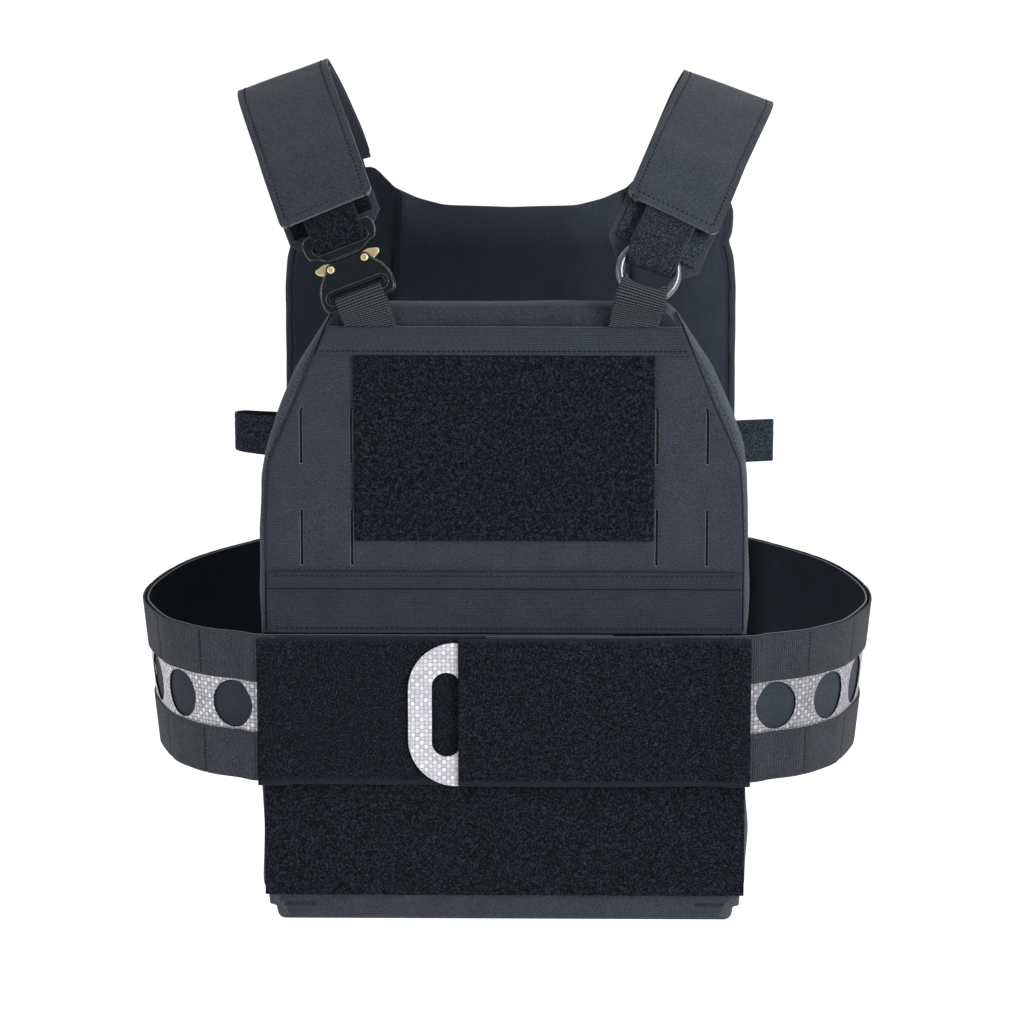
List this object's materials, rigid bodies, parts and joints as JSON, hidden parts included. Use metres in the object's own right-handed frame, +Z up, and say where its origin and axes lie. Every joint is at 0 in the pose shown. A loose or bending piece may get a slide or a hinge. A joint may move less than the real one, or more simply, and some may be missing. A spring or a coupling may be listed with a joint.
{
  "type": "slick plate carrier vest",
  "caption": "Plate carrier vest in its worn shape: two hollow plate pouches, padded shoulder straps with a buckle and a ring, and a wrap-round cummerbund with a pull grip.",
  "frame": {"origin": "between the undersides of the two shoulder straps at their crests, midway between the pouches' side edges; where the wearer's shoulders or a hanger carry the vest", "axes": "+X is the viewer's right, looking at the front; +Y runs from the front pouch to the back pouch; +Z is up"},
  "size_m": [0.3945, 0.2569, 0.444],
  "materials": {
    "laminate_cloth": "matt laminated nylon, dark grey",
    "lining_cloth": "matt dark grey lining",
    "loop_fabric": "dark grey brushed loop fabric",
    "elastic": "dark grey woven elastic",
    "composite_laminate": "pale grey woven laminate",
    "webbing": "dark grey ribbed webbing",
    "painted_black_metal": "black coated, satin",
    "brass": "polished",
    "grey_steel": "dark grey plated"
  },
  "bodies": {
    "vest": {"back_bag": "laminate_cloth", "back_flap": "laminate_cloth", "buckle_body": "painted_black_metal", "buckle_rivet_left": "brass", "buckle_rivet_right": "brass", "buckle_yoke": "painted_black_metal", "cummerbund_left_bottom_row": "elastic", "cummerbund_left_core": "composite_laminate", "cummerbund_left_front_panel": "loop_fabric", "cummerbund_left_lining": "lining_cloth", "cummerbund_left_top_row": "elastic", "cummerbund_right_bottom_row": "elastic", "cummerbund_right_core": "composite_laminate", "cummerbund_right_front_panel": "loop_fabric", "cummerbund_right_lining": "lining_cloth", "cummerbund_right_top_row": "elastic", "front_bag": "laminate_cloth", "front_face_panel": "laminate_cloth", "front_loop_field": "loop_fabric", "front_loop_patch": "loop_fabric", "front_lower_band": "laminate_cloth", "front_top_band": "laminate_cloth", "pull_tab": "composite_laminate", "ring": "grey_steel", "side_loop_left": "elastic", "side_loop_right": "elastic", "strap_left_base": "laminate_cloth", "strap_left_cover": "laminate_cloth", "strap_left_inner": "webbing", "strap_left_loop": "loop_fabric", "strap_left_tab": "loop_fabric", "strap_right_base": "laminate_cloth", "strap_right_cover": "laminate_cloth", "strap_right_inner": "webbing", "strap_right_loop": "loop_fabric", "strap_right_tab": "loop_fabric", "webbing_left": "webbing", "webbing_right": "webbing"},
    "lever_left": {"buckle_lever_left": "brass"},
    "lever_right": {"buckle_lever_right": "brass"}
  },
  "joints": [
    {"name": "lever_left_press", "type": "hinge", "parent": "vest", "child": "lever_left", "pos_m": [-0.08847, -0.11039, -0.0794], "axis": [-0.1074, -0.9494, 0.2952], "range_deg": [0, 10], "stiffness_Nm_per_rad": 0.02},
    {"name": "lever_right_press", "type": "hinge", "parent": "vest", "child": "lever_right", "pos_m": [-0.07128, -0.11021, -0.07258], "axis": [-0.1074, -0.9494, 0.2952], "range_deg": [-10, 0], "stiffness_Nm_per_rad": 0.02}
  ]
}
